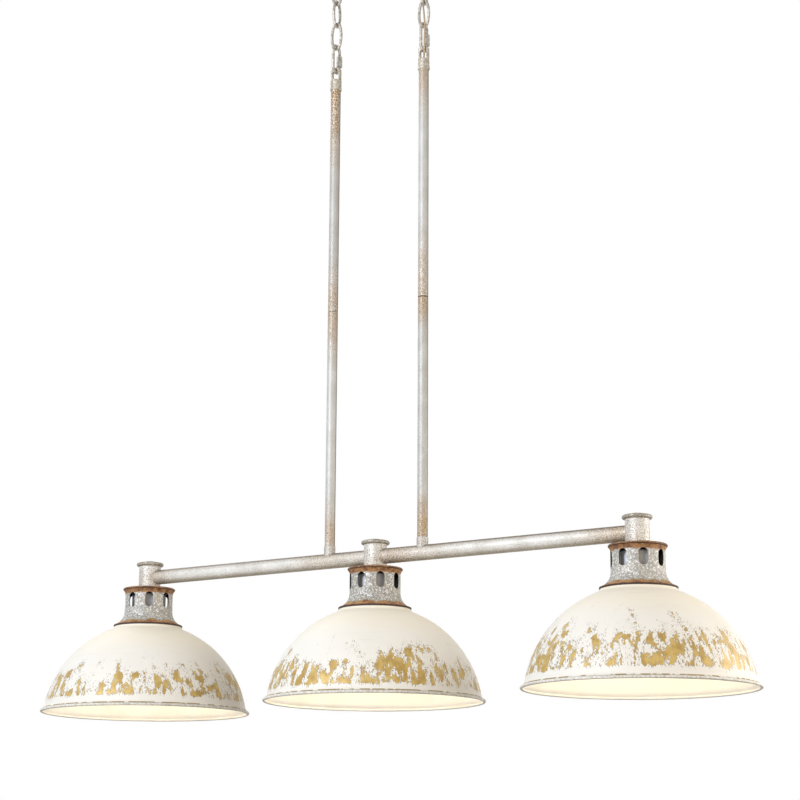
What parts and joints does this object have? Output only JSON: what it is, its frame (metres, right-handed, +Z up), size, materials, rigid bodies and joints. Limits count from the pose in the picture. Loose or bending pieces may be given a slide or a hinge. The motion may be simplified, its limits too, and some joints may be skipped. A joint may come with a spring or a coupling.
{
  "type": "linear island pendant light",
  "caption": "Linear ceiling pendant with open dome shades on a straight bar, hung by jointed rods and short chains from an oblong canopy.",
  "frame": {"origin": "centre of the ceiling face of the canopy and its crossbar", "axes": "+Z up, out of the ceiling face; +X along the bar, towards the side whose chain carries the supply cord; +Y towards the back, the side of the quick links' nuts"},
  "size_m": [0.988, 0.272, 1.0104],
  "materials": {
    "canopy_metal": "aged galvanised look",
    "hidden_steel": "zinc plated",
    "chain_metal": "warm silver, aged",
    "pipe_metal": "aged galvanised, fine speckle",
    "neck_zinc": "mottled zinc with rust at the edges",
    "husk_grey": "smooth grey",
    "shade_enamel": "ivory, chipped near the rim to show brass",
    "porcelain": "glazed",
    "brass_parts": "bright",
    "ring_steel": "ivory",
    "bulb_glass": "frosted white",
    "cord_jacket": "clear brown",
    "lead_jacket": "smooth"
  },
  "bodies": {
    "canopy": {"canopy_shell": "canopy_metal", "crossbar": "hidden_steel", "canopy_studs": "hidden_steel", "canopy_ball_nuts": "canopy_metal", "loop_lock_nuts": "hidden_steel", "canopy_loop_left": "canopy_metal", "canopy_loop_right": "canopy_metal"},
    "link_top_left": {"chain_link_top_left": "chain_metal"},
    "links_middle_low_left": {"chain_link_middle_left": "chain_metal", "chain_link_low_left": "chain_metal"},
    "quick_link_left": {"quick_link_left": "chain_metal"},
    "quick_nut_left": {"quick_link_nut_left": "chain_metal"},
    "link_top_right": {"chain_link_top_right": "chain_metal"},
    "links_middle_low_right": {"chain_link_middle_right": "chain_metal", "chain_link_low_right": "chain_metal"},
    "quick_link_right": {"quick_link_right": "chain_metal"},
    "quick_nut_right": {"quick_link_nut_right": "chain_metal"},
    "bulb_left": {"bulb_base_left": "brass_parts", "bulb_globe_left": "bulb_glass"},
    "bulb_middle": {"bulb_base_middle": "brass_parts", "bulb_globe_middle": "bulb_glass"},
    "bulb_right": {"bulb_base_right": "brass_parts", "bulb_globe_right": "bulb_glass"},
    "light": {"rod_couplings": "hidden_steel", "socket_stems": "hidden_steel", "stem_nuts": "hidden_steel", "rod_loop_left": "chain_metal", "rod_loop_right": "chain_metal", "rod_upper_left": "pipe_metal", "rod_upper_right": "pipe_metal", "rod_lower_left": "pipe_metal", "rod_lower_right": "pipe_metal", "rod_seats": "pipe_metal", "bar_left": "pipe_metal", "bar_right": "pipe_metal", "stub_left": "pipe_metal", "stub_middle": "pipe_metal", "stub_right": "pipe_metal", "stub_cap_left": "pipe_metal", "stub_cap_middle": "pipe_metal", "stub_cap_right": "pipe_metal", "neck_left": "neck_zinc", "neck_middle": "neck_zinc", "neck_right": "neck_zinc", "neck_lid_left": "neck_zinc", "neck_lid_middle": "neck_zinc", "neck_lid_right": "neck_zinc", "husk_left": "husk_grey", "husk_middle": "husk_grey", "husk_right": "husk_grey", "shade_left": "shade_enamel", "shade_middle": "shade_enamel", "shade_right": "shade_enamel", "lampholder_left": "porcelain", "lampholder_middle": "porcelain", "lampholder_right": "porcelain", "screw_shells": "brass_parts", "shade_rings": "ring_steel", "supply_cord": "cord_jacket", "lamp_wiring": "lead_jacket"}
  },
  "joints": [
    {"name": "fore_aft_swing", "type": "hinge", "parent": "canopy", "child": "link_top_right", "pos_m": [0.0685, 0, -0.04455], "axis": [1, 0, 0], "range_deg": [-25, 25], "deforming": ["supply_cord"]},
    {"name": "side_sway", "type": "hinge", "parent": "link_top_right", "child": "links_middle_low_right", "pos_m": [0.0685, 0, -0.0761], "axis": [0, 1, 0], "range_deg": [-20, 20], "deforming": ["supply_cord"]},
    {"name": "quick_link_level_right", "type": "hinge", "parent": "links_middle_low_right", "child": "quick_link_right", "pos_m": [0.0685, 0, -0.1395], "axis": [0, 1, 0], "range_deg": [-20, 20], "deforming": ["supply_cord"]},
    {"name": "nod", "type": "hinge", "parent": "quick_link_right", "child": "light", "pos_m": [0.0685, 0, -0.1727], "axis": [1, 0, 0], "range_deg": [-20, 20], "deforming": ["supply_cord"]},
    {"name": "fore_aft_swing_left", "type": "hinge", "parent": "canopy", "child": "link_top_left", "pos_m": [-0.0685, 0, -0.04455], "axis": [1, 0, 0], "range_deg": [-25, 25]},
    {"name": "side_sway_left", "type": "hinge", "parent": "link_top_left", "child": "links_middle_low_left", "pos_m": [-0.0685, 0, -0.0761], "axis": [0, 1, 0], "range_deg": [-20, 20]},
    {"name": "quick_link_level_left", "type": "hinge", "parent": "links_middle_low_left", "child": "quick_link_left", "pos_m": [-0.0685, 0, -0.1395], "axis": [0, 1, 0], "range_deg": [-20, 20]},
    {"name": "quick_nut_travel_left", "type": "slide", "parent": "quick_link_left", "child": "quick_nut_left", "axis": [0, 0, 1], "range_m": [0, 0.006]},
    {"name": "quick_nut_travel_right", "type": "slide", "parent": "quick_link_right", "child": "quick_nut_right", "axis": [0, 0, 1], "range_m": [0, 0.006]},
    {"name": "bulb_removal_left", "type": "slide", "parent": "light", "child": "bulb_left", "axis": [0, 0, -1], "range_m": [0, 0.028]},
    {"name": "bulb_removal_middle", "type": "slide", "parent": "light", "child": "bulb_middle", "axis": [0, 0, -1], "range_m": [0, 0.028]},
    {"name": "bulb_removal_right", "type": "slide", "parent": "light", "child": "bulb_right", "axis": [0, 0, -1], "range_m": [0, 0.028]}
  ],
  "couplings": [
    {"joint": "quick_link_level_right", "follows": "side_sway", "ratio": -1},
    {"joint": "fore_aft_swing_left", "follows": "fore_aft_swing", "ratio": 1},
    {"joint": "side_sway_left", "follows": "side_sway", "ratio": 1},
    {"joint": "quick_link_level_left", "follows": "side_sway", "ratio": -1}
  ]
}
